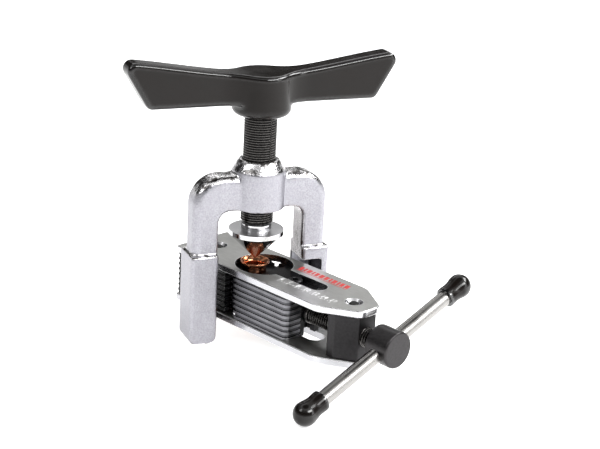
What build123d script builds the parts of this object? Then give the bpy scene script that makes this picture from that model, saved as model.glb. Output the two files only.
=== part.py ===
from build123d import *
import os
from math import cos, radians, sin, tan

# Lamellar-jaw flaring tool for copper tube, as an assembly of separate pieces.
# Row frame: millimetres, +Z up, origin on the tube axis at floor level. +X runs along the
# clamp body towards its clamp screw. The yoke stands turned YOKE_TURN degrees clockwise
# (seen from above) from square across the body, part-way into its bayonet.

os.makedirs("parts", exist_ok=True)

# ---------------------------------------------------------------- clamp plates and end block
PLATE_TOP = 48.5            # top face of the top plate above the floor
PLATE_T = 4.3
PLATE_GAP = 27.7            # clear height between the two plates
PLATE_HALF = 21.5           # half width
PLATE_REAR = -49.3
NOSE_START = 75.5           # where the straight sides end
NOSE_END = 99.0
NOSE_ANGLE = 30.9           # taper of each side of the nose, in plan
NOSE_ROUND = 7.0
KINK_ROUND = 14.0
PLATE_EDGE = 0.5            # broken outer edges
PLATE_REAR_CORNER = 2.0
GAP_HIGH = PLATE_TOP - PLATE_T
GAP_LOW = GAP_HIGH - PLATE_GAP
SCREW_Z = GAP_LOW + PLATE_GAP / 2
KEYHOLE_X = 8.6
KEYHOLE_R = 18.0
SLOT_HALF = 6.0
SLOT_END_X = 55.0           # centre of the slot's round end
RIVET_R = 3.0
RIVET_SINK_R = 5.5
RIVET_RECESS = 0.5          # rivet ends lie this far below the plate's face
FRONT_RIVET_X = 84.7
REAR_RIVET_X = -33.5
FRONT_RIVET_DEPTH = 5.0     # engagement in the end block
BLOCK_REAR = 78.0
BLOCK_TAPER_X = 84.0
BLOCK_FRONT = 96.5
BLOCK_HALF = 14.3
BLOCK_EDGE = 0.8

# ---------------------------------------------------------------- lamellar jaws
LAMINA_COUNT = 8            # laminae in each jaw
LAYER = PLATE_GAP / (2 * LAMINA_COUNT)
LAMINA_T = 1.6
LAYER_PLAY = (LAYER - LAMINA_T) / 2
SPACER_T = 2 * LAYER - LAMINA_T
JAW_HALF = 20.0
SPACER_HALF = 19.7
FIXED_FACE = -4.5
FIXED_REAR = -48.3
MOVING_FACE = 4.3
JAW_END = 50.0
PRONG_HALF = 14.5
PRONG_REACH = 3.0           # prong tips pass the tube axis by this much
TUBE_R = 7.0
V_APEX = TUBE_R / sin(radians(45))
TUBE_PLAY = 0.3             # the sliding jaw stops this far off the tube
SPACER_FACE = 11.0
JAW_CORNER = 4.0
SPACER_EDGE_FACE = 5.1       # spacer's face outboard of the prongs
SPACER_WAIST = 15.5
SPACER_SETBACK = 0.3
GROOVE = 0.5                 # chamfer that shows as a line between the layers
DOWEL_R = 2.5
DOWEL_X = -20.0
DOWEL_Y = 13.0
DOWEL_DEPTH = 2.0           # blind holes in the plates
JAW_RIVET_R = 2.0
JAW_RIVET_PLACES = [(16, -16), (16, 16), (44, -14), (44, 14)]

# ---------------------------------------------------------------- jaw carrier, clamp screw, bar
CARRIER_REAR = 30.0
CARRIER_HALF = 8.0
FLANGE_R = 6.4              # button on the inner end of the clamp screw
FLANGE_X = 42.1
FLANGE_T = 3.7
NECK_R = 4.5
SLOT_PLAY = 0.1
NECK_END = 50.6
COLLAR_R = 6.3
COLLAR_T = 2.2
CLAMP_THREAD_R = 6.0        # M12 x 1.75
THREAD_PLAY = 0.06
KNOB_X = 104.7
KNOB_LENGTH = 16.5
KNOB_R = 11.0
KNOB_EDGE = 1.2
SPIGOT_R = 5.0
SPIGOT_DEPTH = 2.2
INDEX_X = 36.0
INDEX_SHANK_R = 2.5
INDEX_DEPTH = 6.0
INDEX_HEAD_R = 4.5
INDEX_HEAD_T = 3.2
HEX_R = 2.2
HEX_DEPTH = 1.8
BAR_X = KNOB_X + KNOB_LENGTH / 2 - 0.6
BAR_R = 4.5
BAR_TILT = 20.0             # the bar's upper end leans towards +Y
BAR_LENGTH = 146.7          # over both caps
CAP_LENGTH = 20.5
CAP_R = 7.2
CAP_MOUTH_R = 5.7
CAP_WALL = 2.5              # rubber beyond the bar's end

# ---------------------------------------------------------------- yoke
YOKE_TURN = 22.0
LEG_INNER = 27.0
LEG_OUTER = 44.8
LEG_HALF_T = 11.0
LEG_TOP = 58.0
LEG_ROUND = 5.0
LEG_EDGE = 2.0
SHOULDER = 2.0
ARM_OUTER = 43.0
ARM_HALF_T = 8.8
ARM_UNDER = 84.0
ARM_TOP = 106.0
ARM_ROUND = 18.0
ARCH_ROUND = 7.0
ARM_EDGE = 2.0
ARM_OUTER_EDGE = 5.0
BOSS_R = 16.5
BOSS_TOP = 114.5
BOSS_TOP_R = 12.8
NOTCH_OUTER = 39.7          # bayonet notch: outer wall
NOTCH_WALL = 3.5            # wall left on the leg's closed side
NOTCH_HEAD = 0.8            # room above and below the clamp body
NOTCH_FOOT = 0.5

# ---------------------------------------------------------------- feed screw, handle, cone
SPINDLE_R = 10.0            # M20 x 1.5
SPINDLE_FOOT = 74.4
SPINDLE_TOP = 158.0
SPINDLE_EDGE = 0.8
CONE_TIP = 49.8
CONE_BASE_R = 16.5          # 90 degree cone
CONE_FLANGE_R = 16.9
CONE_FLANGE_T = 3.2
CONE_COLLAR_R = 9.3
CONE_COLLAR_H = 3.9
CONE_STEP_R = 8.3
STEM_R = 5.0
STEM_TOP = 84.0
STEM_PLAY = 0.06
BALL_R = 3.0
RING_Z = 79.0
RING_T = 1.2
RING_R = 5.7
RING_GROOVE_R = 4.3
RING_POCKET_R = 6.0
HANDLE_FOOT = 141.8
BOWL_FOOT_R = 13.6
BOWL_R = 18.0
BOWL_BEND_R = 16.8           # halfway round the bowl's lower edge
BOWL_BEND_Z = 143.2
BOWL_RIM_Z = 147.0
BOWL_ROOT = 160.0
HUB_R = 17.5
HUB_BLEND = 28.0             # plan radius between hub and wings
HUB_TOP = 167.8
WING_HALF_T = 7.2
WING_FOOT = 149.0
WING_FOOT_HALF = 71.5
WING_TIP_HALF = 88.5         # before the tip is rounded
WING_TIP_Z = 178.0
WING_MID_HALF = 46.5
WING_MID_Z = 172.1
WING_WAIST_HALF = 21.0
WING_WAIST_Z = 168.7
WING_CORNER = 4.0
WING_TIP_ROUND = 5.0
WING_RIM = 2.2

# ---------------------------------------------------------------- copper tube in the jaws
TUBE_WALL = 1.0
TUBE_FOOT = 8.0
FLARE_R = 9.1
FLARE_Z = 48.6

# ---------------------------------------------------------------- working planes and axes
turn = radians(YOKE_TURN)
ACROSS = Vector(sin(turn), cos(turn), 0)       # along the yoke, towards its far leg
AHEAD = Vector(cos(turn), -sin(turn), 0)       # out of the yoke's front face
yoke_front = Plane(origin=(0, 0, 0), x_dir=ACROSS, z_dir=AHEAD)
yoke_plan = Plane(origin=(0, 0, 0), x_dir=ACROSS, z_dir=(0, 0, 1))
screw_axis = Axis((0, 0, SCREW_Z), (1, 0, 0))
tilt = radians(BAR_TILT)
BAR_DIRECTION = Vector(0, cos(tilt), sin(tilt))
bar_centre = Vector(BAR_X, 0, SCREW_Z)
bar_section = Plane(origin=bar_centre, x_dir=(1, 0, 0), z_dir=BAR_DIRECTION)
bar_profile = Plane(origin=bar_centre, x_dir=BAR_DIRECTION, z_dir=(1, 0, 0))
bar_axis = Axis(bar_centre, BAR_DIRECTION)
# the lower cap just stands on the floor
LOWER_END = (SCREW_Z - CAP_R) / sin(tilt) + CAP_R
UPPER_END = BAR_LENGTH - LOWER_END


# ================================================================ clamp plates
nose_half_end = PLATE_HALF - (NOSE_END - NOSE_START) * tan(radians(NOSE_ANGLE))

with BuildPart() as top_plate:
    with BuildSketch(Plane.XY.offset(GAP_HIGH)):
        with BuildLine():
            Polyline(
                (PLATE_REAR, -PLATE_HALF),
                (NOSE_START, -PLATE_HALF),
                (NOSE_END, -nose_half_end),
                (NOSE_END, nose_half_end),
                (NOSE_START, PLATE_HALF),
                (PLATE_REAR, PLATE_HALF),
                close=True,
            )
        make_face()
        fillet(vertices().sort_by(Axis.X)[-2:], NOSE_ROUND)
        fillet(vertices().filter_by_position(Axis.X, NOSE_START - 1, NOSE_START + 1), KINK_ROUND)
        fillet(vertices().sort_by(Axis.X)[:2], PLATE_REAR_CORNER)
    extrude(amount=PLATE_T)
    chamfer(edges().filter_by(Plane.XY), PLATE_EDGE)
    with BuildSketch(Plane.XY.offset(GAP_HIGH)):
        with Locations((KEYHOLE_X, 0)):
            Circle(KEYHOLE_R)
        with Locations(((KEYHOLE_X + SLOT_END_X) / 2, 0)):
            SlotCenterToCenter(SLOT_END_X - KEYHOLE_X, 2 * SLOT_HALF)
    extrude(amount=PLATE_T, mode=Mode.SUBTRACT)
    with Locations((FRONT_RIVET_X, 0, PLATE_TOP), (REAR_RIVET_X, 0, PLATE_TOP)):
        CounterSinkHole(RIVET_R, RIVET_SINK_R)
    with BuildSketch(Plane.XY.offset(GAP_HIGH)):
        with Locations((DOWEL_X, -DOWEL_Y), (DOWEL_X, DOWEL_Y)):
            Circle(DOWEL_R)
    extrude(amount=DOWEL_DEPTH, mode=Mode.SUBTRACT)
top_plate.part.label = "top_plate"
export_step(top_plate.part, "parts/top_plate.step")

with BuildPart() as bottom_plate:
    mirror(top_plate.part, about=Plane.XY.offset(SCREW_Z))
bottom_plate.part.label = "bottom_plate"
export_step(bottom_plate.part, "parts/bottom_plate.step")

# ================================================================ end block (fixed nut)
block_front_half = BLOCK_HALF - (BLOCK_FRONT - BLOCK_TAPER_X) * tan(radians(NOSE_ANGLE))

with BuildPart() as end_block:
    with BuildSketch(Plane.XY.offset(GAP_LOW)):
        with BuildLine():
            Polyline(
                (BLOCK_REAR, -BLOCK_HALF),
                (BLOCK_TAPER_X, -BLOCK_HALF),
                (BLOCK_FRONT, -block_front_half),
                (BLOCK_FRONT, block_front_half),
                (BLOCK_TAPER_X, BLOCK_HALF),
                (BLOCK_REAR, BLOCK_HALF),
                close=True,
            )
        make_face()
        fillet(vertices(), BLOCK_EDGE)
    extrude(amount=PLATE_GAP)
    with BuildSketch(Plane.YZ.offset(BLOCK_REAR)):
        with Locations((0, SCREW_Z)):
            Circle(CLAMP_THREAD_R + THREAD_PLAY)
    extrude(amount=BLOCK_FRONT - BLOCK_REAR, mode=Mode.SUBTRACT)
    with Locations((FRONT_RIVET_X, 0, GAP_HIGH)):
        Hole(RIVET_R, depth=FRONT_RIVET_DEPTH)
    with BuildSketch(Plane.XY.offset(GAP_LOW)):
        with Locations((FRONT_RIVET_X, 0)):
            Circle(RIVET_R)
    extrude(amount=FRONT_RIVET_DEPTH, mode=Mode.SUBTRACT)
end_block.part.label = "end_block"
export_step(end_block.part, "parts/end_block.step")

# ================================================================ rivets and dowels of the frame
with BuildPart() as front_rivets:
    with BuildSketch(Plane.XY.offset(GAP_HIGH - FRONT_RIVET_DEPTH)):
        with Locations((FRONT_RIVET_X, 0)):
            Circle(RIVET_R)
    extrude(amount=FRONT_RIVET_DEPTH + PLATE_T - RIVET_RECESS)
    chamfer(faces().sort_by(Axis.Z)[-1].edges(), RIVET_RECESS)
    mirror(about=Plane.XY.offset(SCREW_Z))
front_rivets.part.label = "front_rivets"
export_step(front_rivets.part, "parts/front_rivets.step")

rear_rivet_length = PLATE_GAP + 2 * (PLATE_T - RIVET_RECESS)

with BuildPart() as rear_rivet:
    with BuildSketch(Plane.XY.offset(GAP_LOW - PLATE_T + RIVET_RECESS)):
        with Locations((REAR_RIVET_X, 0)):
            Circle(RIVET_R)
    extrude(amount=rear_rivet_length)
    chamfer(faces().sort_by(Axis.Z)[-1].edges(), RIVET_RECESS)
    chamfer(faces().sort_by(Axis.Z)[0].edges(), RIVET_RECESS)
rear_rivet.part.label = "rear_rivet"
export_step(rear_rivet.part, "parts/rear_rivet.step")

with BuildPart() as fixed_jaw_dowels:
    with BuildSketch(Plane.XY.offset(GAP_LOW - DOWEL_DEPTH)):
        with Locations((DOWEL_X, -DOWEL_Y), (DOWEL_X, DOWEL_Y)):
            Circle(DOWEL_R)
    extrude(amount=PLATE_GAP + 2 * DOWEL_DEPTH)
fixed_jaw_dowels.part.label = "fixed_jaw_dowels"
export_step(fixed_jaw_dowels.part, "parts/fixed_jaw_dowels.step")

# ================================================================ fixed jaw: laminae and spacers
for index in range(LAMINA_COUNT):
    lamina_z = GAP_LOW + (2 * index + 1) * LAYER + LAYER_PLAY
    with BuildPart() as fixed_lamina:
        with BuildSketch(Plane.XY.offset(lamina_z)):
            with BuildLine():
                Polyline(
                    (-V_APEX, 0),
                    (PRONG_REACH, V_APEX + PRONG_REACH),
                    (PRONG_REACH, PRONG_HALF),
                    (FIXED_FACE, PRONG_HALF),
                    (FIXED_FACE, JAW_HALF),
                    (FIXED_REAR, JAW_HALF),
                    (FIXED_REAR, 0),
                    close=True,
                )
            make_face()
            mirror(about=Plane.XZ)
            with Locations((REAR_RIVET_X, 0)):
                Circle(RIVET_R, mode=Mode.SUBTRACT)
            with Locations((DOWEL_X, -DOWEL_Y), (DOWEL_X, DOWEL_Y)):
                Circle(DOWEL_R, mode=Mode.SUBTRACT)
        extrude(amount=LAMINA_T)
    fixed_lamina.part.label = f"fixed_lamina_{index + 1}"
    export_step(fixed_lamina.part, f"parts/fixed_lamina_{index + 1}.step")

for index in range(LAMINA_COUNT):
    spacer_foot = max(GAP_LOW, GAP_LOW + (2 * index - 1) * LAYER + LAYER_PLAY + LAMINA_T)
    spacer_head = GAP_LOW + (2 * index + 1) * LAYER + LAYER_PLAY
    with BuildPart() as fixed_spacer:
        with BuildSketch(Plane.XY.offset(spacer_foot)):
            with BuildLine():
                Polyline(
                    (-SPACER_FACE, 0),
                    (-SPACER_FACE, SPACER_WAIST),
                    (-SPACER_EDGE_FACE, SPACER_WAIST),
                    (-SPACER_EDGE_FACE, SPACER_HALF),
                    (FIXED_REAR + SPACER_SETBACK, SPACER_HALF),
                    (FIXED_REAR + SPACER_SETBACK, 0),
                    close=True,
                )
            make_face()
            mirror(about=Plane.XZ)
            with Locations((REAR_RIVET_X, 0)):
                Circle(RIVET_R, mode=Mode.SUBTRACT)
            with Locations((DOWEL_X, -DOWEL_Y), (DOWEL_X, DOWEL_Y)):
                Circle(DOWEL_R, mode=Mode.SUBTRACT)
        extrude(amount=spacer_head - spacer_foot)
        lower_edges = edges().group_by(Axis.Z)[0]
        chamfer(lower_edges.filter_by(lambda edge: abs(edge.center().Y) > SPACER_HALF - 0.01), GROOVE)
    fixed_spacer.part.label = f"fixed_spacer_{index + 1}"
    export_step(fixed_spacer.part, f"parts/fixed_spacer_{index + 1}.step")

# ================================================================ sliding jaw: laminae and spacers
for index in range(LAMINA_COUNT):
    lamina_z = GAP_LOW + 2 * index * LAYER + LAYER_PLAY
    moving_apex = V_APEX + TUBE_PLAY
    with BuildPart() as moving_lamina:
        with BuildSketch(Plane.XY.offset(lamina_z)):
            with BuildLine():
                Polyline(
                    (moving_apex, 0),
                    (-PRONG_REACH, moving_apex + PRONG_REACH),
                    (-PRONG_REACH, PRONG_HALF),
                    (MOVING_FACE, PRONG_HALF),
                    (MOVING_FACE, JAW_HALF),
                    (JAW_END, JAW_HALF),
                    (JAW_END, CARRIER_HALF),
                    (CARRIER_REAR, CARRIER_HALF),
                    (CARRIER_REAR, 0),
                    close=True,
                )
            make_face()
            mirror(about=Plane.XZ)
            corners = vertices().filter_by(lambda corner: abs(corner.Y) > JAW_HALF - 0.01)
            fillet(corners.sort_by(Axis.X)[-2:], JAW_CORNER)
            with Locations(*JAW_RIVET_PLACES):
                Circle(JAW_RIVET_R, mode=Mode.SUBTRACT)
        extrude(amount=LAMINA_T)
    moving_lamina.part.label = f"moving_lamina_{index + 1}"
    export_step(moving_lamina.part, f"parts/moving_lamina_{index + 1}.step")

for index in range(LAMINA_COUNT):
    spacer_foot = GAP_LOW + 2 * index * LAYER + LAYER_PLAY + LAMINA_T
    spacer_head = min(spacer_foot + SPACER_T, GAP_HIGH - LAYER_PLAY)
    with BuildPart() as moving_spacer:
        with BuildSketch(Plane.XY.offset(spacer_foot)):
            with BuildLine():
                Polyline(
                    (SPACER_FACE, 0),
                    (SPACER_FACE, SPACER_WAIST),
                    (SPACER_EDGE_FACE, SPACER_WAIST),
                    (SPACER_EDGE_FACE, SPACER_HALF),
                    (JAW_END - SPACER_SETBACK, SPACER_HALF),
                    (JAW_END - SPACER_SETBACK, CARRIER_HALF),
                    (CARRIER_REAR, CARRIER_HALF),
                    (CARRIER_REAR, 0),
                    close=True,
                )
            make_face()
            mirror(about=Plane.XZ)
            corners = vertices().filter_by(lambda corner: abs(corner.Y) > SPACER_HALF - 0.01)
            fillet(corners.sort_by(Axis.X)[-2:], JAW_CORNER)
            with Locations(*JAW_RIVET_PLACES):
                Circle(JAW_RIVET_R, mode=Mode.SUBTRACT)
        extrude(amount=spacer_head - spacer_foot)
        lower_edges = edges().group_by(Axis.Z)[0]
        side_edges = lower_edges.filter_by(lambda edge: abs(edge.center().Y) > SPACER_HALF - JAW_CORNER / 2)
        chamfer(side_edges, GROOVE)
    moving_spacer.part.label = f"moving_spacer_{index + 1}"
    export_step(moving_spacer.part, f"parts/moving_spacer_{index + 1}.step")

stack_height = PLATE_GAP - 2 * LAYER_PLAY

with BuildPart() as moving_jaw_rivets:
    with BuildSketch(Plane.XY.offset(GAP_LOW + LAYER_PLAY)):
        with Locations(*JAW_RIVET_PLACES):
            Circle(JAW_RIVET_R)
    extrude(amount=stack_height)
moving_jaw_rivets.part.label = "moving_jaw_rivets"
export_step(moving_jaw_rivets.part, "parts/moving_jaw_rivets.step")

# ================================================================ jaw carrier with its T-slot
with BuildPart() as jaw_carrier:
    with BuildSketch(Plane.XY.offset(GAP_LOW + LAYER_PLAY)):
        with Locations(((CARRIER_REAR + JAW_END) / 2, 0)):
            Rectangle(JAW_END - CARRIER_REAR, 2 * CARRIER_HALF)
    extrude(amount=stack_height)
    slot_depth = SCREW_Z - GAP_LOW
    for half_width, start, length in (
        (FLANGE_R + SLOT_PLAY, FLANGE_X - SLOT_PLAY, FLANGE_T + 2 * SLOT_PLAY),
        (NECK_R + SLOT_PLAY, FLANGE_X + FLANGE_T, JAW_END - FLANGE_X - FLANGE_T),
    ):
        with BuildSketch(Plane.YZ.offset(start)):
            with Locations((0, SCREW_Z)):
                Circle(half_width)
            with Locations((0, SCREW_Z - slot_depth / 2)):
                Rectangle(2 * half_width, slot_depth)
        extrude(amount=length, mode=Mode.SUBTRACT)
    with Locations((INDEX_X, 0, GAP_HIGH - LAYER_PLAY)):
        Hole(INDEX_SHANK_R, depth=INDEX_DEPTH)
jaw_carrier.part.label = "jaw_carrier"
export_step(jaw_carrier.part, "parts/jaw_carrier.step")

with BuildPart() as index_screw:
    with BuildSketch(Plane.XY.offset(GAP_HIGH - LAYER_PLAY - INDEX_DEPTH)):
        with Locations((INDEX_X, 0)):
            Circle(INDEX_SHANK_R)
    extrude(amount=INDEX_DEPTH)
    with BuildSketch(Plane.XY.offset(GAP_HIGH - LAYER_PLAY)):
        with Locations((INDEX_X, 0)):
            Circle(INDEX_HEAD_R)
    extrude(amount=INDEX_HEAD_T)
    head_face = faces().sort_by(Axis.Z)[-1]
    chamfer(head_face.edges(), PLATE_EDGE)
    with BuildSketch(Plane.XY.offset(GAP_HIGH - LAYER_PLAY + INDEX_HEAD_T - HEX_DEPTH)):
        with Locations((INDEX_X, 0)):
            RegularPolygon(HEX_R, 6)
    extrude(amount=HEX_DEPTH, mode=Mode.SUBTRACT)
index_screw.part.label = "index_screw"
export_step(index_screw.part, "parts/index_screw.step")

# ================================================================ clamp screw and its knob
with BuildPart() as clamp_screw:
    with BuildSketch(Plane.XZ):
        with BuildLine():
            Polyline(
                (FLANGE_X, SCREW_Z),
                (FLANGE_X, SCREW_Z + FLANGE_R),
                (FLANGE_X + FLANGE_T, SCREW_Z + FLANGE_R),
                (FLANGE_X + FLANGE_T, SCREW_Z + NECK_R),
                (NECK_END, SCREW_Z + NECK_R),
                (NECK_END, SCREW_Z + COLLAR_R),
                (NECK_END + COLLAR_T, SCREW_Z + COLLAR_R),
                (NECK_END + COLLAR_T, SCREW_Z + CLAMP_THREAD_R),
                (KNOB_X, SCREW_Z + CLAMP_THREAD_R),
                (KNOB_X, SCREW_Z + SPIGOT_R),
                (KNOB_X + SPIGOT_DEPTH, SCREW_Z + SPIGOT_R),
                (KNOB_X + SPIGOT_DEPTH, SCREW_Z),
                close=True,
            )
        make_face()
    revolve(axis=screw_axis)
clamp_screw.part.label = "clamp_screw"
export_step(clamp_screw.part, "parts/clamp_screw.step")

with BuildPart() as clamp_knob:
    with BuildSketch(Plane.YZ.offset(KNOB_X)):
        with Locations((0, SCREW_Z)):
            Circle(KNOB_R)
    extrude(amount=KNOB_LENGTH)
    fillet(edges(), KNOB_EDGE)
    with BuildSketch(Plane.YZ.offset(KNOB_X)):
        with Locations((0, SCREW_Z)):
            Circle(SPIGOT_R)
    extrude(amount=SPIGOT_DEPTH, mode=Mode.SUBTRACT)
    with BuildSketch(bar_section):
        Circle(BAR_R + STEM_PLAY)
    extrude(amount=2 * KNOB_R, both=True, mode=Mode.SUBTRACT)
clamp_knob.part.label = "clamp_knob"
export_step(clamp_knob.part, "parts/clamp_knob.step")

# ================================================================ tommy bar and its two caps
with BuildPart() as tommy_bar:
    with BuildSketch(bar_section.offset(CAP_WALL - LOWER_END)):
        Circle(BAR_R)
    extrude(amount=BAR_LENGTH - 2 * CAP_WALL)
tommy_bar.part.label = "tommy_bar"
export_step(tommy_bar.part, "parts/tommy_bar.step")

for cap_name, side, end in (("lower_bar_cap", -1, LOWER_END), ("upper_bar_cap", 1, UPPER_END)):
    with BuildPart() as bar_cap:
        with BuildSketch(bar_profile):
            with BuildLine():
                dome_x = end - CAP_R
                dome_mid = CAP_R * sin(radians(45))
                Polyline(
                    (side * end, 0),
                    (side * (end - CAP_WALL), 0),
                    (side * (end - CAP_WALL), BAR_R),
                    (side * (end - CAP_LENGTH), BAR_R),
                    (side * (end - CAP_LENGTH), CAP_MOUTH_R),
                    (side * dome_x, CAP_R),
                )
                ThreePointArc(
                    (side * dome_x, CAP_R),
                    (side * (dome_x + dome_mid), dome_mid),
                    (side * end, 0),
                )
            make_face()
        revolve(axis=bar_axis)
    bar_cap.part.label = cap_name
    export_step(bar_cap.part, f"parts/{cap_name}.step")

# ================================================================ yoke
with BuildPart() as yoke:
    # arched arm
    with BuildSketch(yoke_front):
        with BuildLine():
            Polyline(
                (-ARM_OUTER, LEG_TOP - SHOULDER),
                (-ARM_OUTER, ARM_TOP),
                (ARM_OUTER, ARM_TOP),
                (ARM_OUTER, LEG_TOP - SHOULDER),
                (LEG_INNER, LEG_TOP - SHOULDER),
                (LEG_INNER, ARM_UNDER),
                (-LEG_INNER, ARM_UNDER),
                (-LEG_INNER, LEG_TOP - SHOULDER),
                close=True,
            )
        make_face()
        fillet(vertices().group_by(Axis.Y)[-1], ARM_ROUND)
        fillet(vertices().filter_by_position(Axis.Y, ARM_UNDER - 1, ARM_UNDER + 1), ARCH_ROUND)
    extrude(amount=ARM_HALF_T, both=True)
    long_edges = edges().filter_by(lambda edge: abs(abs(edge.center().dot(AHEAD)) - ARM_HALF_T) < 0.01)
    outer_edges = long_edges.filter_by(
        lambda edge: abs(edge.center().dot(ACROSS)) > LEG_INNER + ARM_OUTER_EDGE
        or edge.center().Z > ARM_TOP - 1
    )
    inner_edges = long_edges.filter_by(lambda edge: edge not in outer_edges and edge.center().Z > LEG_TOP)
    fillet(outer_edges, ARM_OUTER_EDGE)
    fillet(inner_edges, ARM_EDGE)
    # leg blocks
    for side in (-1, 1):
        with BuildSketch(yoke_front):
            with Locations((side * (LEG_INNER + LEG_OUTER) / 2, LEG_TOP / 2)):
                Rectangle(LEG_OUTER - LEG_INNER, LEG_TOP)
            fillet(vertices().group_by(Axis.Y)[0], LEG_ROUND)
        extrude(amount=LEG_HALF_T, both=True)
    block_edges = edges().filter_by(lambda edge: abs(abs(edge.center().dot(AHEAD)) - LEG_HALF_T) < 0.01)
    fillet(block_edges, LEG_EDGE)
    # boss round the feed screw
    with BuildSketch(Plane.XY.offset(ARM_UNDER)):
        Circle(BOSS_R)
    extrude(amount=ARM_TOP - ARM_UNDER)
    with BuildSketch(Plane.XZ):
        with BuildLine():
            Polyline(
                (0, BOSS_TOP),
                (BOSS_TOP_R - 1, BOSS_TOP),
                (BOSS_TOP_R, BOSS_TOP - 1),
                (BOSS_R, ARM_TOP + 1.5),
                (BOSS_R, ARM_UNDER),
                (0, ARM_UNDER),
                close=True,
            )
        make_face()
    revolve(axis=Axis.Z)
    # threaded bore
    with BuildSketch(Plane.XY.offset(ARM_UNDER - 1)):
        Circle(SPINDLE_R + THREAD_PLAY)
    extrude(amount=BOSS_TOP - ARM_UNDER + 2, mode=Mode.SUBTRACT)
    # bayonet notches, point-symmetric about the spindle
    notch_foot = GAP_LOW - PLATE_T - NOTCH_FOOT
    notch_head = PLATE_TOP + NOTCH_HEAD
    notch_length = 2 * LEG_HALF_T - NOTCH_WALL
    for side in (-1, 1):
        with BuildSketch(yoke_plan.offset(notch_foot)):
            with Locations((side * (LEG_INNER + NOTCH_OUTER) / 2, -side * NOTCH_WALL / 2)):
                Rectangle(NOTCH_OUTER - LEG_INNER, notch_length)
        extrude(amount=notch_head - notch_foot, mode=Mode.SUBTRACT)
yoke.part.label = "yoke"
export_step(yoke.part, "parts/yoke.step")

# ================================================================ feed screw
with BuildPart() as spindle:
    with BuildSketch(Plane.XY.offset(SPINDLE_FOOT)):
        Circle(SPINDLE_R)
    extrude(amount=SPINDLE_TOP - SPINDLE_FOOT)
    chamfer(edges().sort_by(Axis.Z)[0], SPINDLE_EDGE)
    with BuildSketch(Plane.XY.offset(SPINDLE_FOOT)):
        Circle(STEM_R + STEM_PLAY)
    extrude(amount=STEM_TOP + 2 * BALL_R + STEM_PLAY - SPINDLE_FOOT, mode=Mode.SUBTRACT)
    with BuildSketch(Plane.XY.offset(RING_Z - SLOT_PLAY)):
        Circle(RING_POCKET_R)
    extrude(amount=RING_T + 2 * SLOT_PLAY, mode=Mode.SUBTRACT)
spindle.part.label = "spindle"
export_step(spindle.part, "parts/spindle.step")

with BuildPart() as t_handle:
    # gull-wing outline from the front
    with BuildSketch(yoke_front):
        with BuildLine():
            Polyline(
                (-WING_TIP_HALF, WING_TIP_Z),
                (-WING_FOOT_HALF, WING_FOOT),
                (WING_FOOT_HALF, WING_FOOT),
                (WING_TIP_HALF, WING_TIP_Z),
            )
            Spline(
                (WING_TIP_HALF, WING_TIP_Z),
                (WING_MID_HALF, WING_MID_Z),
                (WING_WAIST_HALF, WING_WAIST_Z),
                (0, HUB_TOP),
                (-WING_WAIST_HALF, WING_WAIST_Z),
                (-WING_MID_HALF, WING_MID_Z),
                (-WING_TIP_HALF, WING_TIP_Z),
            )
        make_face()
        fillet(vertices().group_by(Axis.Y)[0], WING_CORNER)
        fillet(vertices().filter_by(lambda corner: abs(corner.X) > WING_TIP_HALF - 1), WING_TIP_ROUND)
    extrude(amount=HUB_R + 1, both=True)
    # outline from above: the wings swell into the hub
    with BuildSketch(yoke_plan.offset(WING_FOOT - 1)):
        Rectangle(2 * WING_TIP_HALF + 4, 2 * WING_HALF_T)
        Circle(HUB_R)
        fillet(vertices().sort_by(lambda corner: abs(corner.X) + abs(corner.Y))[:4], HUB_BLEND)
    extrude(amount=WING_TIP_Z - WING_FOOT + 2, mode=Mode.INTERSECT)
    upright = edges().filter_by(Axis.Z)
    hub_seams = upright.filter_by(lambda seam: abs(seam.center().dot(ACROSS)) < WING_MID_HALF)
    fillet(edges() - hub_seams, WING_RIM)
    # bowl under the hub
    with BuildSketch(Plane.XZ):
        with BuildLine():
            Line((0, BOWL_ROOT), (0, HANDLE_FOOT))
            Line((0, HANDLE_FOOT), (BOWL_FOOT_R, HANDLE_FOOT))
            ThreePointArc((BOWL_FOOT_R, HANDLE_FOOT), (BOWL_BEND_R, BOWL_BEND_Z), (BOWL_R, BOWL_RIM_Z))
            Line((BOWL_R, BOWL_RIM_Z), (HUB_R, BOWL_ROOT))
            Line((HUB_R, BOWL_ROOT), (0, BOWL_ROOT))
        make_face()
    revolve(axis=Axis.Z)
    with BuildSketch(Plane.XY.offset(HANDLE_FOOT)):
        Circle(SPINDLE_R)
    extrude(amount=SPINDLE_TOP - HANDLE_FOOT, mode=Mode.SUBTRACT)
t_handle.part.label = "t_handle"
export_step(t_handle.part, "parts/t_handle.step")

# ================================================================ flaring cone
flange_foot = CONE_TIP + CONE_BASE_R
flange_head = flange_foot + CONE_FLANGE_T
collar_head = flange_head + CONE_COLLAR_H

with BuildPart() as flaring_cone:
    with BuildSketch(Plane.XZ):
        with BuildLine():
            Polyline(
                (0, CONE_TIP),
                (CONE_BASE_R, flange_foot),
                (CONE_FLANGE_R, flange_foot + 0.4),
                (CONE_FLANGE_R, flange_head),
                (CONE_COLLAR_R, flange_head + 0.4),
                (CONE_COLLAR_R, flange_head + 2),
                (CONE_STEP_R, flange_head + 2),
                (CONE_STEP_R, flange_head + 3),
                (CONE_COLLAR_R, flange_head + 3),
                (CONE_COLLAR_R, collar_head),
                (STEM_R, collar_head),
                (STEM_R, RING_Z),
                (RING_GROOVE_R, RING_Z),
                (RING_GROOVE_R, RING_Z + RING_T),
                (STEM_R, RING_Z + RING_T),
                (STEM_R, STEM_TOP),
                (0, STEM_TOP),
                close=True,
            )
        make_face()
    revolve(axis=Axis.Z)
flaring_cone.part.label = "flaring_cone"
export_step(flaring_cone.part, "parts/flaring_cone.step")

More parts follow.
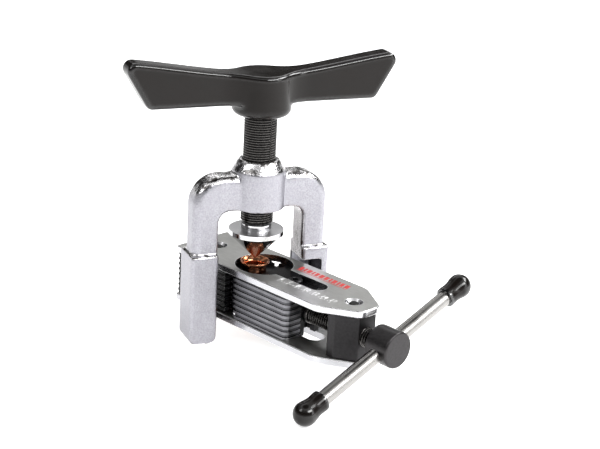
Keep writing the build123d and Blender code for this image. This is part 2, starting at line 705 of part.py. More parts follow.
with BuildPart() as cone_retaining_ring:
    with BuildSketch(Plane.XY.offset(RING_Z)):
        Circle(RING_R)
        Circle(RING_GROOVE_R, mode=Mode.SUBTRACT)
    extrude(amount=RING_T)
cone_retaining_ring.part.label = "cone_retaining_ring"
export_step(cone_retaining_ring.part, "parts/cone_retaining_ring.step")

with BuildPart() as thrust_ball:
    with Locations((0, 0, STEM_TOP + BALL_R)):
        Sphere(BALL_R)
thrust_ball.part.label = "thrust_ball"
export_step(thrust_ball.part, "parts/thrust_ball.step")

# ================================================================ copper tube
with BuildPart() as copper_tube:
    with BuildSketch(Plane.XZ):
        with BuildLine():
            flare_height = FLARE_R - TUBE_R
            bore_r = TUBE_R - TUBE_WALL
            lip = TUBE_WALL * 0.7
            Polyline(
                (bore_r, TUBE_FOOT),
                (TUBE_R, TUBE_FOOT),
                (TUBE_R, FLARE_Z - flare_height - lip),
                (FLARE_R, FLARE_Z - lip),
                (FLARE_R - lip, FLARE_Z),
                (bore_r, FLARE_Z + bore_r - FLARE_R + lip),
                close=True,
            )
        make_face()
    revolve(axis=Axis.Z)
copper_tube.part.label = "copper_tube"
export_step(copper_tube.part, "parts/copper_tube.step")
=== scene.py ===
from math import cos, pi, radians, sin

import bmesh
import bpy
from mathutils import Matrix, Vector


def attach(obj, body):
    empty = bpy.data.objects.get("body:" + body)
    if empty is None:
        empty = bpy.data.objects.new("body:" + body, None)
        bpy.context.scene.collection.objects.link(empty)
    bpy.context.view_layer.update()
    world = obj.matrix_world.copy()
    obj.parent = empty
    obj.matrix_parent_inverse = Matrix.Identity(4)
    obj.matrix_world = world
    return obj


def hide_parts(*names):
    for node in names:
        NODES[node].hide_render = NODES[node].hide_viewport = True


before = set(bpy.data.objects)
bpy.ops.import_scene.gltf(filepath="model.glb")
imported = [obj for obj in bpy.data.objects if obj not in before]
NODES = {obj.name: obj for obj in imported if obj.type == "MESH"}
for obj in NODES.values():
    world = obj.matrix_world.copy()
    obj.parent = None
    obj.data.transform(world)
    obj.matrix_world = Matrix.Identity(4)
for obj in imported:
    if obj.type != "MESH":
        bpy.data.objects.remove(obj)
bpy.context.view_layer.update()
MM = 0.001

# ---------------------------------------------------------------- shared places, in metres
YOKE_TURN = radians(22)
ACROSS = Vector((sin(YOKE_TURN), cos(YOKE_TURN), 0))     # along the yoke, towards its far leg
UP = Vector((0, 0, 1))
BAR_TILT = radians(20)
BAR_DIRECTION = Vector((0, cos(BAR_TILT), sin(BAR_TILT)))
SCREW_Z = 0.03035        # height of the clamp screw's axis
BAR_X = 0.11235          # where the bar crosses the clamp screw's axis
PLATE_TOP = 0.0485       # upper face of the top plate

# ---------------------------------------------------------------- threads, in millimetres
FEED_CREST, FEED_PITCH, FEED_DEPTH = 9.98, 1.5, 0.8
CLAMP_CREST, CLAMP_PITCH, CLAMP_DEPTH = 5.98, 1.75, 0.95
THREAD_SIDES = {"feed": 56, "clamp": 40}


# ================================================================ materials
def new_material(name, colour, metallic=0.0, roughness=0.4):
    """A Principled material; returns it with its tree and shader."""
    made = bpy.data.materials.new(name)
    made.use_nodes = True
    tree = made.node_tree
    shader = tree.nodes["Principled BSDF"]
    shader.inputs["Base Color"].default_value = (*colour, 1)
    shader.inputs["Metallic"].default_value = metallic
    shader.inputs["Roughness"].default_value = roughness
    return made, tree, shader


def add_node(tree, kind, **settings):
    node = tree.nodes.new(kind)
    for key, value in settings.items():
        if key in node.inputs:
            node.inputs[key].default_value = value
        else:
            setattr(node, key, value)
    return node


def object_place(tree, scale=(1, 1, 1)):
    """Object coordinates, stretched by scale."""
    place = add_node(tree, "ShaderNodeTexCoord")
    mapping = add_node(tree, "ShaderNodeMapping")
    mapping.inputs["Scale"].default_value = scale
    tree.links.new(place.outputs["Object"], mapping.inputs["Vector"])
    return mapping.outputs["Vector"]


def noise(tree, vector, scale, detail=4.0, rough=0.55):
    made = add_node(tree, "ShaderNodeTexNoise")
    made.inputs["Scale"].default_value = scale
    made.inputs["Detail"].default_value = detail
    made.inputs["Roughness"].default_value = rough
    tree.links.new(vector, made.inputs["Vector"])
    return made.outputs["Fac"]


def spread(tree, value, low, high, start=0.3, end=0.7):
    """value from start..end mapped to low..high, clamped."""
    made = add_node(tree, "ShaderNodeMapRange", interpolation_type="SMOOTHSTEP")
    made.inputs["From Min"].default_value = start
    made.inputs["From Max"].default_value = end
    made.inputs["To Min"].default_value = low
    made.inputs["To Max"].default_value = high
    tree.links.new(value, made.inputs["Value"])
    return made.outputs["Result"]


def mix_colour(tree, factor, first, second):
    made = add_node(tree, "ShaderNodeMix", data_type="RGBA")
    for socket, value in ((6, first), (7, second)):
        if isinstance(value, tuple):
            made.inputs[socket].default_value = (*value, 1)
        else:
            tree.links.new(value, made.inputs[socket])
    tree.links.new(factor, made.inputs[0])
    return made.outputs[2]


def mix_value(tree, factor, first, second):
    """first where factor is 0, second where it is 1."""
    made = add_node(tree, "ShaderNodeMix", data_type="FLOAT")
    for socket, value in ((2, first), (3, second)):
        if isinstance(value, (int, float)):
            made.inputs[socket].default_value = value
        else:
            tree.links.new(value, made.inputs[socket])
    tree.links.new(factor, made.inputs[0])
    return made.outputs[0]


def edge_mask(tree, radius, start=0.004, end=0.08):
    """1 along edges sharper than radius, 0 on open faces."""
    bevel = add_node(tree, "ShaderNodeBevel", samples=6)
    bevel.inputs["Radius"].default_value = radius
    geometry = add_node(tree, "ShaderNodeNewGeometry")
    dot = add_node(tree, "ShaderNodeVectorMath", operation="DOT_PRODUCT")
    tree.links.new(bevel.outputs["Normal"], dot.inputs[0])
    tree.links.new(geometry.outputs["Normal"], dot.inputs[1])
    away = add_node(tree, "ShaderNodeMath", operation="SUBTRACT")
    away.inputs[0].default_value = 1.0
    tree.links.new(dot.outputs["Value"], away.inputs[1])
    return spread(tree, away.outputs[0], 0.0, 1.0, start, end)


def rounded_edge(tree, start, end):
    """1 on the rounded corners of a dense mesh, 0 on its flats."""
    return spread(tree, add_node(tree, "ShaderNodeNewGeometry").outputs["Pointiness"], 0.0, 1.0, start, end)


def bump(tree, shader, height, strength, distance, bevel=None):
    made = add_node(tree, "ShaderNodeBump")
    made.inputs["Strength"].default_value = strength
    made.inputs["Distance"].default_value = distance
    tree.links.new(height, made.inputs["Height"])
    if bevel:
        rounding = add_node(tree, "ShaderNodeBevel", samples=6)
        rounding.inputs["Radius"].default_value = bevel
        tree.links.new(rounding.outputs["Normal"], made.inputs["Normal"])
    tree.links.new(made.outputs["Normal"], shader.inputs["Normal"])


def dot_with(tree, vector, direction):
    made = add_node(tree, "ShaderNodeVectorMath", operation="DOT_PRODUCT")
    tree.links.new(vector, made.inputs[0])
    made.inputs[1].default_value = direction
    return made.outputs["Value"]


def calculate(tree, operation, first, second):
    made = add_node(tree, "ShaderNodeMath", operation=operation)
    for socket, value in zip(made.inputs, (first, second)):
        if isinstance(value, (int, float)):
            socket.default_value = value
        else:
            tree.links.new(value, socket)
    return made.outputs[0]


def upright(tree, low=0.25, high=0.6):
    """0 on upright faces, 1 on faces that look up or down."""
    place = add_node(tree, "ShaderNodeTexCoord")
    steep = calculate(tree, "ABSOLUTE", dot_with(tree, place.outputs["Normal"], UP), 0)
    return spread(tree, steep, 0.0, 1.0, low, high)


def inner_face(tree):
    """1 on the yoke's faces that look in towards the screw."""
    place = add_node(tree, "ShaderNodeTexCoord")
    facing = dot_with(tree, place.outputs["Normal"], ACROSS)
    side = dot_with(tree, place.outputs["Object"], ACROSS)
    return spread(tree, calculate(tree, "MULTIPLY", facing, side), 1.0, 0.0, -0.024, -0.014)


def satin_chrome():
    """Chromed forging: satin flats with a fine tumbled grain, painted reflection streaks on the faces that
    look up or down, and painted shade on the inner faces and upright rounded corners.
    """
    made, tree, shader = new_material("satin_chrome", (0.6, 0.6, 0.64), 1.0, 0.3)
    place = object_place(tree)
    grain = noise(tree, place, 1100, 4)
    cloud = noise(tree, place, 70, 4)
    inside = inner_face(tree)
    polished = calculate(tree, "MAXIMUM", upright(tree), inside)
    speck = calculate(tree, "MULTIPLY", spread(tree, grain, 0, 1), spread(tree, cloud, 0.5, 1))
    satin = mix_colour(tree, speck, (0.31, 0.306, 0.335), (0.44, 0.435, 0.47))
    # painted reflection: on faces that look up or down the tone runs in streaks from near black to near white
    painted_reflection_streaks = spread(tree, noise(tree, place, 260, 3), 0.0, 1.0, 0.4, 0.52)
    tone = mix_colour(tree, polished, satin, mix_colour(tree, painted_reflection_streaks, (0.12, 0.115, 0.11), (0.8, 0.79, 0.8)))
    # painted shade: the inner faces and the upright rounded corners are darkened to a dark grey
    corner = rounded_edge(tree, 0.51, 0.56)
    painted_corner_shade = calculate(tree, "MULTIPLY", corner, calculate(tree, "SUBTRACT", 1.0, upright(tree)))
    shaded = calculate(tree, "MAXIMUM", inside, painted_corner_shade)
    tree.links.new(mix_colour(tree, shaded, tone, (0.2, 0.19, 0.195)), shader.inputs["Base Color"])
    rough = mix_value(tree, polished, spread(tree, cloud, 0.33, 0.42), 0.09)
    tree.links.new(rough, shader.inputs["Roughness"])
    bump(tree, shader, grain, 0.6, 0.0003)
    return made


def polished_chrome():
    """Turned and polished: satin flats, painted shade on the cone faces that look down and painted highlights
    on the corners.
    """
    made, tree, shader = new_material("polished_chrome", (0.55, 0.55, 0.56), 1.0, 0.06)
    place = object_place(tree)
    turning = noise(tree, object_place(tree, (1, 1, 40)), 120, 2)
    smear = noise(tree, place, 90, 4)
    flat = upright(tree, 0.85, 0.97)
    normal = add_node(tree, "ShaderNodeTexCoord").outputs["Normal"]
    # painted shade: faces that look down are darkened
    below = spread(tree, dot_with(tree, normal, (0, 0, -1)), 0.0, 1.0, 0.3, 0.6)
    metal = mix_colour(tree, smear, (0.52, 0.52, 0.53), (0.7, 0.7, 0.71))
    cone = mix_colour(tree, below, metal, (0.24, 0.235, 0.235))
    # painted highlight: edges are mixed towards a near white chrome
    edge = edge_mask(tree, 0.0004)
    tree.links.new(mix_colour(tree, edge, cone, (0.85, 0.85, 0.86)), shader.inputs["Base Color"])
    tree.links.new(mix_value(tree, flat, spread(tree, smear, 0.05, 0.17), 0.38), shader.inputs["Roughness"])
    bump(tree, shader, turning, 0.08, 0.0001)
    return made


def plate_steel():
    """Zinc-plated plate: faint rolling grain along X, painted highlights along the edges."""
    made, tree, shader = new_material("plate_steel", (0.5, 0.5, 0.49), 1.0, 0.34)
    rolled = noise(tree, object_place(tree, (0.12, 1, 1)), 900, 3)
    cloud = noise(tree, object_place(tree), 45, 4)
    sides = calculate(tree, "SUBTRACT", 1.0, upright(tree, 0.5, 0.95))
    # painted highlight: edges, such as the keyhole's rim, are mixed towards near white
    rim = edge_mask(tree, 0.0008)
    face = mix_colour(tree, spread(tree, cloud, 0, 1), (0.46, 0.46, 0.445), (0.56, 0.56, 0.545))
    cut = mix_colour(tree, sides, face, (0.52, 0.52, 0.54))
    tree.links.new(mix_colour(tree, rim, cut, (0.95, 0.95, 0.96)), shader.inputs["Base Color"])
    tree.links.new(mix_value(tree, sides, spread(tree, rolled, 0.3, 0.46), 0.2), shader.inputs["Roughness"])
    bump(tree, shader, rolled, 0.12, 0.00008, 0.0003)
    return made


def lamina_steel(name, dark, light, painted_highlight_tone):
    """Hardened strip: grey faces with fine upright shear marks, painted highlights on the corners and painted
    shade on the faces that look up or down.
    """
    made, tree, shader = new_material(name, light, 1.0, 0.4)
    sheared = noise(tree, object_place(tree, (1, 1, 0.15)), 1500, 2)
    cloud = noise(tree, object_place(tree), 110, 3)
    tone = mix_colour(tree, spread(tree, cloud, 0, 1), dark, light)
    # painted highlight: corners are mixed towards the lighter corner tone
    edge = edge_mask(tree, 0.0003)
    sides = mix_colour(tree, edge, tone, painted_highlight_tone)
    # painted shade: faces that look up or down are darkened to 0.22 of the dark tone
    painted_shade_flats = tuple(value * 0.22 for value in dark)
    tree.links.new(mix_colour(tree, upright(tree), sides, painted_shade_flats), shader.inputs["Base Color"])
    tree.links.new(spread(tree, sheared, 0.34, 0.5), shader.inputs["Roughness"])
    bump(tree, shader, sheared, 0.1, 0.00005)
    return made


def dark_steel(name, colour, low, high, wear=0.05):
    """Black oxide: nearly black, with a faint mottle and slightly worn edges."""
    made, tree, shader = new_material(name, colour, 0.85, (low + high) / 2)
    mottle = noise(tree, object_place(tree), 700, 4)
    edge = edge_mask(tree, 0.0004, 0.01, 0.2)
    light = tuple(value * 1.25 for value in colour)
    tone = mix_colour(tree, spread(tree, mottle, 0, 1), colour, light)
    worn = tuple(value * 2.5 + wear for value in colour)
    tree.links.new(mix_colour(tree, edge, tone, worn), shader.inputs["Base Color"])
    tree.links.new(spread(tree, mottle, low, high), shader.inputs["Roughness"])
    bump(tree, shader, mottle, 0.1, 0.00006, 0.0002)
    return made


def thread_steel(name, centre, axis, root, crest):
    """Black oxide with a painted highlight in grey on the crests of a thread along axis."""
    made, tree, shader = new_material(name, (0.02, 0.02, 0.02), 0.9, 0.3)
    place = add_node(tree, "ShaderNodeTexCoord")
    offset = add_node(tree, "ShaderNodeVectorMath", operation="SUBTRACT")
    tree.links.new(place.outputs["Object"], offset.inputs[0])
    offset.inputs[1].default_value = centre
    across = add_node(tree, "ShaderNodeVectorMath", operation="CROSS_PRODUCT")
    tree.links.new(offset.outputs[0], across.inputs[0])
    across.inputs[1].default_value = axis
    length = add_node(tree, "ShaderNodeVectorMath", operation="LENGTH")
    tree.links.new(across.outputs[0], length.inputs[0])
    # painted highlight: the thread crests are lightened to grey
    rubbed_rim_and_painted_highlight = spread(tree, length.outputs["Value"], 0.0, 1.0, root, crest)
    mottle = noise(tree, object_place(tree), 700, 4)
    dark = mix_colour(tree, mottle, (0.008, 0.008, 0.008), (0.016, 0.015, 0.015))
    tree.links.new(mix_colour(tree, rubbed_rim_and_painted_highlight, dark, (0.13, 0.125, 0.12)), shader.inputs["Base Color"])
    tree.links.new(spread(tree, mottle, 0.2, 0.34), shader.inputs["Roughness"])
    bump(tree, shader, mottle, 0.1, 0.00005)
    return made


def bright_bar():
    """Centreless-ground bar: a fine even grain with smears and bright worn edges."""
    made, tree, shader = new_material("bright_bar", (0.5, 0.49, 0.48), 1.0, 0.25)
    along = object_place(tree, (1, 1, 1))
    rings = noise(tree, along, 700, 3)
    smear = noise(tree, along, 70, 4)
    ground = mix_colour(tree, smear, (0.25, 0.243, 0.232), (0.38, 0.37, 0.36))
    edge = edge_mask(tree, 0.0004)
    tree.links.new(mix_colour(tree, edge, ground, (0.8, 0.79, 0.78)), shader.inputs["Base Color"])
    tree.links.new(spread(tree, smear, 0.2, 0.3), shader.inputs["Roughness"])
    bump(tree, shader, rings, 0.06, 0.00004)
    return made


def copper():
    """Drawn and flared copper: bright, warm, with slight tarnish clouds."""
    made, tree, shader = new_material("copper", (0.86, 0.42, 0.26), 1.0, 0.2)
    cloud = noise(tree, object_place(tree), 160, 5)
    tone = mix_colour(tree, spread(tree, cloud, 0, 1, 0.35, 0.75), (0.9, 0.4, 0.22), (0.6, 0.22, 0.1))
    edge = edge_mask(tree, 0.0003)
    tree.links.new(mix_colour(tree, edge, tone, (0.97, 0.55, 0.38)), shader.inputs["Base Color"])
    tree.links.new(spread(tree, cloud, 0.13, 0.26), shader.inputs["Roughness"])
    bump(tree, shader, noise(tree, object_place(tree), 300, 2), 0.02, 0.00003)
    return made


def black_plastic(name, low, high, grain, strength, rim):
    """Moulded black plastic with a fine even grain; handled rims are rubbed to a full gloss."""
    made, tree, shader = new_material(name, (0.005, 0.0045, 0.0045), 0.0, (low + high) / 2)
    place = object_place(tree)
    edge = edge_mask(tree, rim, 0.003, 0.03)
    rubbed_rim_and_painted_highlight = calculate(tree, "MAXIMUM", edge, rounded_edge(tree, 0.51, 0.54))
    fine = noise(tree, place, grain, 2)
    cloud = noise(tree, place, 40, 3)
    tone = mix_colour(tree, cloud, (0.004, 0.003, 0.0025), (0.008, 0.006, 0.005))
    tree.links.new(mix_colour(tree, rubbed_rim_and_painted_highlight, tone, (0.003, 0.003, 0.003)), shader.inputs["Base Color"])
    rough = mix_value(tree, rubbed_rim_and_painted_highlight, spread(tree, cloud, low, high), low * 0.6)
    tree.links.new(rough, shader.inputs["Roughness"])
    tree.links.new(mix_value(tree, rubbed_rim_and_painted_highlight, 0.2, 1.0), shader.inputs["Specular IOR Level"])
    bump(tree, shader, fine, strength, 0.00008)
    return made


def printed(name, colour):
    """Screen-printed ink: slightly uneven cover."""
    made, tree, shader = new_material(name, colour, 0.0, 0.5)
    patch = noise(tree, object_place(tree), 800, 3)
    dull = tuple(value * 0.75 for value in colour)
    worn = tuple(value * 0.6 + 0.1 for value in colour)
    ink = mix_colour(tree, spread(tree, patch, 0, 1), dull, colour)
    tree.links.new(mix_colour(tree, edge_mask(tree, 0.0001), ink, worn), shader.inputs["Base Color"])
    tree.links.new(spread(tree, patch, 0.42, 0.6), shader.inputs["Roughness"])
    bump(tree, shader, patch, 0.1, 0.00003)
    return made


def pale_floor():
    """White studio floor that glows slightly, so that it stays pale under the object."""
    made, tree, shader = new_material("pale_floor", (0.9, 0.9, 0.9), 0.0, 0.6)
    shader.inputs["Emission Color"].default_value = (1, 1, 1, 1)
    shader.inputs["Emission Strength"].default_value = 0.75
    cloud = noise(tree, object_place(tree), 3, 2)
    tree.links.new(mix_colour(tree, cloud, (0.9, 0.9, 0.9), (0.93, 0.93, 0.93)), shader.inputs["Base Color"])
    return made


CHROME = satin_chrome()
MIRROR = polished_chrome()
PLATE = plate_steel()
LAMINA = lamina_steel("lamina_steel", (0.17, 0.17, 0.18), (0.21, 0.21, 0.225), (0.34, 0.34, 0.36))
SPACER = lamina_steel("spacer_steel", (0.075, 0.075, 0.082), (0.1, 0.1, 0.108), (0.13, 0.13, 0.14))
# painted shade: the fixed jaw's laminae are near black, with painted highlight dots on their corners
SHADED_LAMINA = lamina_steel("painted_shade_lamina", (0.02, 0.02, 0.021), (0.035, 0.035, 0.037), (0.3, 0.3, 0.3))
RIVET = lamina_steel("rivet_steel", (0.16, 0.16, 0.15), (0.26, 0.26, 0.25), (0.6, 0.6, 0.6))
FEED_THREAD = thread_steel("feed_thread_oxide", (0, 0, 0), UP, 0.0094, 0.00995)
CLAMP_THREAD = thread_steel("clamp_thread_oxide", (0, 0, SCREW_Z), Vector((1, 0, 0)), 0.0054, 0.00595)
OXIDE = dark_steel("black_oxide", (0.018, 0.018, 0.019), 0.26, 0.36)
BLOCK = dark_steel("block_oxide", (0.022, 0.021, 0.022), 0.3, 0.4)
KNOB = dark_steel("knob_oxide", (0.034, 0.032, 0.033), 0.28, 0.38, 0.14)
# painted shade: the fixed jaw's spacers are near black
SHADOW_STEEL = dark_steel("painted_shade_spacer", (0.010, 0.010, 0.010), 0.35, 0.5)
BAR = bright_bar()
COPPER = copper()
HANDLE = black_plastic("handle_plastic", 0.12, 0.2, 1500, 0.03, 0.004)
RUBBER = black_plastic("cap_vinyl", 0.12, 0.2, 900, 0.05, 0.0008)
RED_INK = printed("red_ink", (0.55, 0.04, 0.035))
WHITE_INK = printed("white_ink", (0.95, 0.95, 0.95))


def give(material, *names):
    for name in names:
        slots = NODES[name].data.materials
        slots.clear()
        slots.append(material)


give(CHROME, "yoke")
give(MIRROR, "flaring_cone")
give(PLATE, "top_plate", "bottom_plate")
give(BLOCK, "end_block")
give(KNOB, "clamp_knob")
give(OXIDE, "jaw_carrier", "index_screw", "clamp_screw", "spindle")
give(BAR, "tommy_bar")
give(RIVET, "front_rivets", "rear_rivet", "fixed_jaw_dowels", "moving_jaw_rivets")
give(BAR, "cone_retaining_ring", "thrust_ball")
give(COPPER, "copper_tube")
give(HANDLE, "t_handle")
give(RUBBER, "lower_bar_cap", "upper_bar_cap")
for node_name in NODES:
    if node_name.startswith("moving_lamina_"):
        give(LAMINA, node_name)
    if node_name.startswith("moving_spacer_"):
        give(SPACER, node_name)
    if node_name.startswith("fixed_lamina_"):
        give(SHADED_LAMINA, node_name)
    if node_name.startswith("fixed_spacer_"):
        give(SHADOW_STEEL, node_name)


# ================================================================ mesh helpers
def add_piece(name, mesh, material, body, smooth=True):
    """Links a mesh as a named piece that rides on a CAD body."""
    mesh.materials.append(material)
    if smooth:
        mesh.polygons.foreach_set("use_smooth", [True] * len(mesh.polygons))
        mesh.set_sharp_from_angle(angle=radians(32))
    piece = bpy.data.objects.new(name, mesh)
    bpy.context.scene.collection.objects.link(piece)
    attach(piece, body)
    return piece


def rings_to_mesh(name, rings, place=Matrix.Identity(4)):
    """Skins rings of equal length; the first and last close to a point or a flat cap."""
    work = bmesh.new()
    rows = [[work.verts.new(place @ Vector(point)) for point in ring] for ring in rings]
    for lower, upper in zip(rows, rows[1:]):
        for index in range(len(lower)):
            after = (index + 1) % len(lower)
            work.faces.new((lower[index], lower[after], upper[after], upper[index]))
    work.faces.new(list(reversed(rows[0])))
    work.faces.new(rows[-1])
    bmesh.ops.remove_doubles(work, verts=work.verts, dist=1e-7)
    bmesh.ops.dissolve_degenerate(work, edges=work.edges, dist=1e-7)
    bmesh.ops.recalc_face_normals(work, faces=work.faces)
    mesh = bpy.data.meshes.new(name)
    work.to_mesh(mesh)
    work.free()
    return mesh


def circle_ring(radius, height, sides):
    angles = [2 * pi * k / sides for k in range(sides)]
    return [(radius * cos(angle), radius * sin(angle), height) for angle in angles]


def thread_rings(start, end, crest, pitch, depth, sides):
    """Rows that climb one pitch in a turn: two at the crest, two at the root, ending in root rings.

    Each row closes on its own start, so one facet of the thread drops back a pitch in a seam.
    """
    root = crest - depth
    profile = ((0.0, crest), (0.14, crest), (0.5, root), (0.64, root))
    rings = []
    turns = int((end - start) / pitch) + 2
    for turn in range(-1, turns):
        for share, radius in profile:
            ring = []
            for k in range(sides):
                height = start + pitch * (turn + share + k / sides)
                inside = start < height < end
                height = min(max(height, start), end)
                reach = radius if inside else root
                angle = 2 * pi * k / sides
                ring.append((reach * cos(angle), reach * sin(angle), height))
            rings.append(ring)
    return rings


# ================================================================ screws with real threads
def add_spindle():
    """M20 x 1.5 feed screw with a seat for the cone's stem bored in its foot."""
    sides = THREAD_SIDES["feed"]
    foot, head, chamfer_r = 74.4, 158.0, 8.6
    seat_r, groove_r = 5.06, 6.0
    scale = Matrix.Scale(MM, 4)
    seat = [(0.01, 90.06), (seat_r, 90.06), (seat_r, 80.3), (groove_r, 80.3), (groove_r, 78.9)]
    seat += [(seat_r, 78.9), (seat_r, foot), (chamfer_r, foot)]
    rings = [circle_ring(radius, height, sides) for radius, height in seat]
    rings += thread_rings(foot + 0.5, head - 0.1, FEED_CREST, FEED_PITCH, FEED_DEPTH, sides)
    rings.append(circle_ring(chamfer_r, head, sides))
    mesh = rings_to_mesh("feed_thread", rings, scale)
    piece = add_piece("feed_thread", mesh, FEED_THREAD, "feed_screw")
    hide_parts("spindle")


def add_clamp_screw():
    """M12 x 1.75 clamp screw with the button and collar that pull the jaw."""
    sides = THREAD_SIDES["clamp"]
    turn = Matrix.Translation((0, 0, SCREW_Z)) @ Matrix.Rotation(pi / 2, 4, "Y") @ Matrix.Scale(MM, 4)
    button = [(5.8, 42.1), (6.4, 42.7), (6.4, 45.2), (5.8, 45.8), (4.5, 45.8)]
    collar = [(4.5, 50.6), (6.0, 50.6), (6.3, 50.9), (6.3, 52.5), (6.0, 52.8), (5.1, 52.8)]
    rings = [circle_ring(radius, along, sides) for radius, along in button + collar]
    rings += thread_rings(53.0, 104.6, CLAMP_CREST, CLAMP_PITCH, CLAMP_DEPTH, sides)
    rings.append(circle_ring(5.0, 104.7, sides))
    mesh = rings_to_mesh("clamp_thread", rings, turn)
    piece = add_piece("clamp_thread", mesh, CLAMP_THREAD, "clamp_screw")
    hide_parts("clamp_screw")


# ================================================================ vinyl caps on the bar
def add_cap(name, node, side, end):
    """Dipped cap: thick lip, slight waist and a full round end."""
    sides = 48
    bore_r, round_r = 4.52, 7.2
    bore_end = end - 2.6
    lip = ((bore_r, 20.4), (5.8, 20.4), (6.2, 20.0), (6.28, 19.2), (6.22, 17.8))
    waist = ((6.1, 15.5), (6.15, 13.2), (6.6, 10.8), (7.08, 8.6))
    painted_corner_shade = [(radius, end - below) for radius, below in lip + waist]
    for degrees in range(4, 89, 7):
        angle = radians(degrees)
        painted_corner_shade.append((round_r * cos(angle), end - round_r + round_r * sin(angle)))
    rings = [circle_ring(0.01, bore_end, sides), circle_ring(bore_r, bore_end, sides)]
    rings += [circle_ring(radius, along, sides) for radius, along in painted_corner_shade + [(0.02, end)]]
    facing = (BAR_DIRECTION * side).to_track_quat("Z", "Y").to_matrix().to_4x4()
    place = Matrix.Translation((BAR_X, 0, SCREW_Z)) @ facing @ Matrix.Scale(MM, 4)
    piece = add_piece(name, rings_to_mesh(name, rings, place), RUBBER, "tommy_bar")
    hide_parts(node)


# ================================================================ flared copper tube
def add_tube():
    """The clamped tube with a rolled lip on its 45 degree flare."""
    sides = 96
    outer = [(6.0, 8.3), (6.3, 8.0), (6.8, 8.0), (7.0, 8.2), (7.0, 44.6)]
    outer += [(7.2, 45.3), (8.5, 46.6), (8.95, 47.15)]
    lip = [(9.09, 47.7), (9.07, 48.1), (8.9, 48.45), (8.65, 48.59), (8.35, 48.5)]
    inner = [(6.35, 46.5), (6.05, 46.0), (6.0, 45.2), (6.0, 8.3)]
    rings = [circle_ring(radius, height, sides) for radius, height in outer + lip + inner]
    scale = Matrix.Scale(MM, 4)
    work = bmesh.new()
    rows = [[work.verts.new(scale @ Vector(point)) for point in ring] for ring in rings[:-1]]
    for lower, upper in zip(rows, rows[1:] + rows[:1]):
        for index in range(sides):
            after = (index + 1) % sides
            work.faces.new((lower[index], lower[after], upper[after], upper[index]))
    bmesh.ops.recalc_face_normals(work, faces=work.faces)
    mesh = bpy.data.meshes.new("flared_tube")
    work.to_mesh(mesh)
    work.free()
    piece = add_piece("flared_tube", mesh, COPPER, "clamp_frame")
    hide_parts("copper_tube")


# ================================================================ printing on the top plate
def slab(work, corners, thickness=0.00003):
    """Adds a thin closed prism on the plate."""
    foot = [work.verts.new((x * MM, y * MM, PLATE_TOP - 0.00001)) for x, y in corners]
    head = [work.verts.new((x * MM, y * MM, PLATE_TOP + thickness)) for x, y in corners]
    work.faces.new(list(reversed(foot)))
    work.faces.new(head)
    for index in range(len(corners)):
        after = (index + 1) % len(corners)
        work.faces.new((foot[index], foot[after], head[after], head[index]))


def add_red_band():
    """Plain slanted red dashes along the far strip, with a line under them."""
    work = bmesh.new()
    start, foot, head, lean = 27.0, 11.0, 15.8, 1.2
    line_foot, line_head = 9.6, 10.15
    x = start
    for width, gap in ((2.9, 1.2), (1.5, 1.0), (3.1, 1.1), (1.5, 1.0), (2.6, 1.1), (3.1, 1.1)) * 2:
        slab(work, ((x, foot), (x + width, foot), (x + width - lean, head), (x - lean, head)))
        x += width + gap
    slab(work, ((start, line_foot), (x - 1, line_foot), (x - 1, line_head), (start, line_head)))
    mesh = bpy.data.meshes.new("red_band")
    work.to_mesh(mesh)
    work.free()
    add_piece("red_band", mesh, RED_INK, "clamp_frame", smooth=False)


def add_scale():
    """White ticks and tube sizes along the near strip."""
    work = bmesh.new()
    start, spacing, wide, head = 33.0, 2.4, 0.45, -10.4
    number_shift = 0.2
    for index in range(19):
        x = start + spacing * index
        foot = head - (2.2 if index % 3 == 0 else 1.2)
        slab(work, ((x, foot), (x + wide, foot), (x + wide, head), (x, head)))
    mesh = bpy.data.meshes.new("scale_ticks")
    work.to_mesh(mesh)
    work.free()
    add_piece("scale_ticks", mesh, WHITE_INK, "clamp_frame", smooth=False)
    for index, size in enumerate((4, 6, 8, 10, 12, 14, 16)):
        curve = bpy.data.curves.new("scale_number", "FONT")
        curve.body = str(size)
        curve.size = 0.0048
        curve.offset = 0.00014
        curve.align_x = "CENTER"
        curve.extrude = 0.00002
        source = bpy.data.objects.new("number_source", curve)
        bpy.context.scene.collection.objects.link(source)
        mesh = bpy.data.meshes.new_from_object(source.evaluated_get(bpy.context.evaluated_depsgraph_get()))
        bpy.data.objects.remove(source)
        x = start + number_shift + 3 * spacing * index
        mesh.transform(Matrix.Translation((x * MM, -0.0101, PLATE_TOP + 0.00001)))
        mesh.materials.clear()
        add_piece(f"scale_number_{index + 1}", mesh, WHITE_INK, "clamp_frame", smooth=False)


# ================================================================ softened castings and mouldings
VOXEL = 0.0006
YOKE_WAVES = 0.0003


def soften(name, voxel, rounds, waviness=0.0, wave_size=0.007):
    """Rounds a CAD node's junctions by modifiers alone; waviness adds a forging's uneven surface."""
    target = NODES[name]
    remesh = target.modifiers.new("remesh", "REMESH")
    remesh.mode = "VOXEL"
    remesh.voxel_size = voxel
    remesh.use_smooth_shade = True
    smoothing = target.modifiers.new("smoothing", "SMOOTH")
    smoothing.factor = 0.5
    smoothing.iterations = rounds
    if waviness:
        texture = bpy.data.textures.new(name + "_waves", "CLOUDS")
        texture.noise_scale = wave_size
        waves = target.modifiers.new("waves", "DISPLACE")
        waves.texture = texture
        waves.texture_coords = "LOCAL"
        waves.strength = waviness
        waves.mid_level = 1.0     # only ever cuts in, so the bore stays clear of the thread


add_spindle()
add_clamp_screw()
add_cap("lower_cap", "lower_bar_cap", -1, 74.89)
add_cap("upper_cap", "upper_bar_cap", 1, 71.81)
add_tube()
add_red_band()
add_scale()
soften("yoke", VOXEL, 8, YOKE_WAVES)
soften("t_handle", VOXEL, 10)


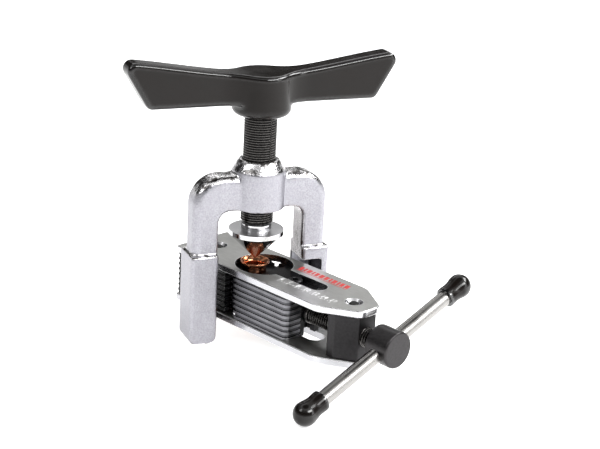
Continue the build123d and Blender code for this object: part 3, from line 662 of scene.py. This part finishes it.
# ================================================================ studio
def add_light(name, place, target, size, power, colour=(1, 1, 1)):
    data = bpy.data.lights.new(name, "AREA")
    data.shape = "RECTANGLE"
    data.size, data.size_y = size
    data.energy = power
    data.color = colour
    light = bpy.data.objects.new(name, data)
    light.location = place
    light.rotation_euler = (Vector(target) - Vector(place)).to_track_quat("-Z", "Y").to_euler()
    bpy.context.scene.collection.objects.link(light)


def add_floor():
    mesh = bpy.data.meshes.new("floor")
    half = 12.0
    corners = [(-half, -half, 0), (half, -half, 0), (half, half, 0), (-half, half, 0)]
    mesh.from_pydata(corners, [], [(0, 1, 2, 3)])
    floor = bpy.data.objects.new("floor", mesh)
    floor.data.materials.append(pale_floor())
    floor.location.z = -0.0002
    bpy.context.scene.collection.objects.link(floor)


def add_world():
    """Studio surroundings by height: white cards low, a dark band, a white ceiling card and a dark zenith."""
    world = bpy.data.worlds.new("studio")
    bpy.context.scene.world = world
    world.use_nodes = True
    tree = world.node_tree
    place = add_node(tree, "ShaderNodeTexCoord")
    split = add_node(tree, "ShaderNodeSeparateXYZ")
    tree.links.new(place.outputs["Generated"], split.inputs[0])
    ramp = add_node(tree, "ShaderNodeValToRGB")
    low_cards = ((0.0, 0.8), (0.13, 0.7), (0.2, 0.05), (0.5, 0.04))
    ceiling = ((0.6, 0.45), (0.72, 0.3), (0.8, 1.1), (0.9, 1.1), (0.95, 0.05))
    stops = low_cards + ceiling
    ramp.color_ramp.elements[0].position = stops[0][0]
    ramp.color_ramp.elements[1].position = stops[-1][0]
    for position, _ in stops[1:-1]:
        ramp.color_ramp.elements.new(position)
    for element, (_, grey) in zip(ramp.color_ramp.elements, stops):
        element.color = (grey, grey, grey, 1)
    tree.links.new(split.outputs["Z"], ramp.inputs["Fac"])
    background = tree.nodes["Background"]
    tree.links.new(ramp.outputs["Color"], background.inputs["Color"])
    background.inputs["Strength"].default_value = 1.0


def add_camera():
    data = bpy.data.cameras.new("camera")
    data.sensor_width = 36
    data.lens = 91.5
    data.clip_start = 0.05
    data.clip_end = 60
    camera = bpy.data.objects.new("camera", data)
    azimuth, elevation, roll = radians(44.74), radians(19.22), radians(3.05)
    aim = Matrix.Rotation(azimuth, 4, "Z") @ Matrix.Rotation(pi / 2 - elevation, 4, "X")
    camera.matrix_world = Matrix.Translation((0.6373, -0.6053, 0.3795)) @ aim @ Matrix.Rotation(roll, 4, "Z")
    bpy.context.scene.collection.objects.link(camera)
    bpy.context.scene.camera = camera


add_camera()
add_world()
add_floor()
add_light("key", (-0.2, -1.1, 1.0), (0.02, 0, 0.07), (0.5, 0.5), 4.5)
add_light("rim", (0.45, 0.85, 1.0), (0.0, 0, 0.16), (0.9, 0.4), 14)
add_light("line", (1.18, 0.085, 0.93), (0.0, 0, 0.16), (1.0, 0.36), 17)
add_light("right", (1.1, 0.5, 0.5), (0.02, 0, 0.07), (0.3, 0.8), 2)
add_light("back", (-0.95, 0.95, 0.95), (0.02, 0, 0.05), (1.3, 0.35), 2.6)
bpy.context.scene.view_settings.view_transform = "Standard"
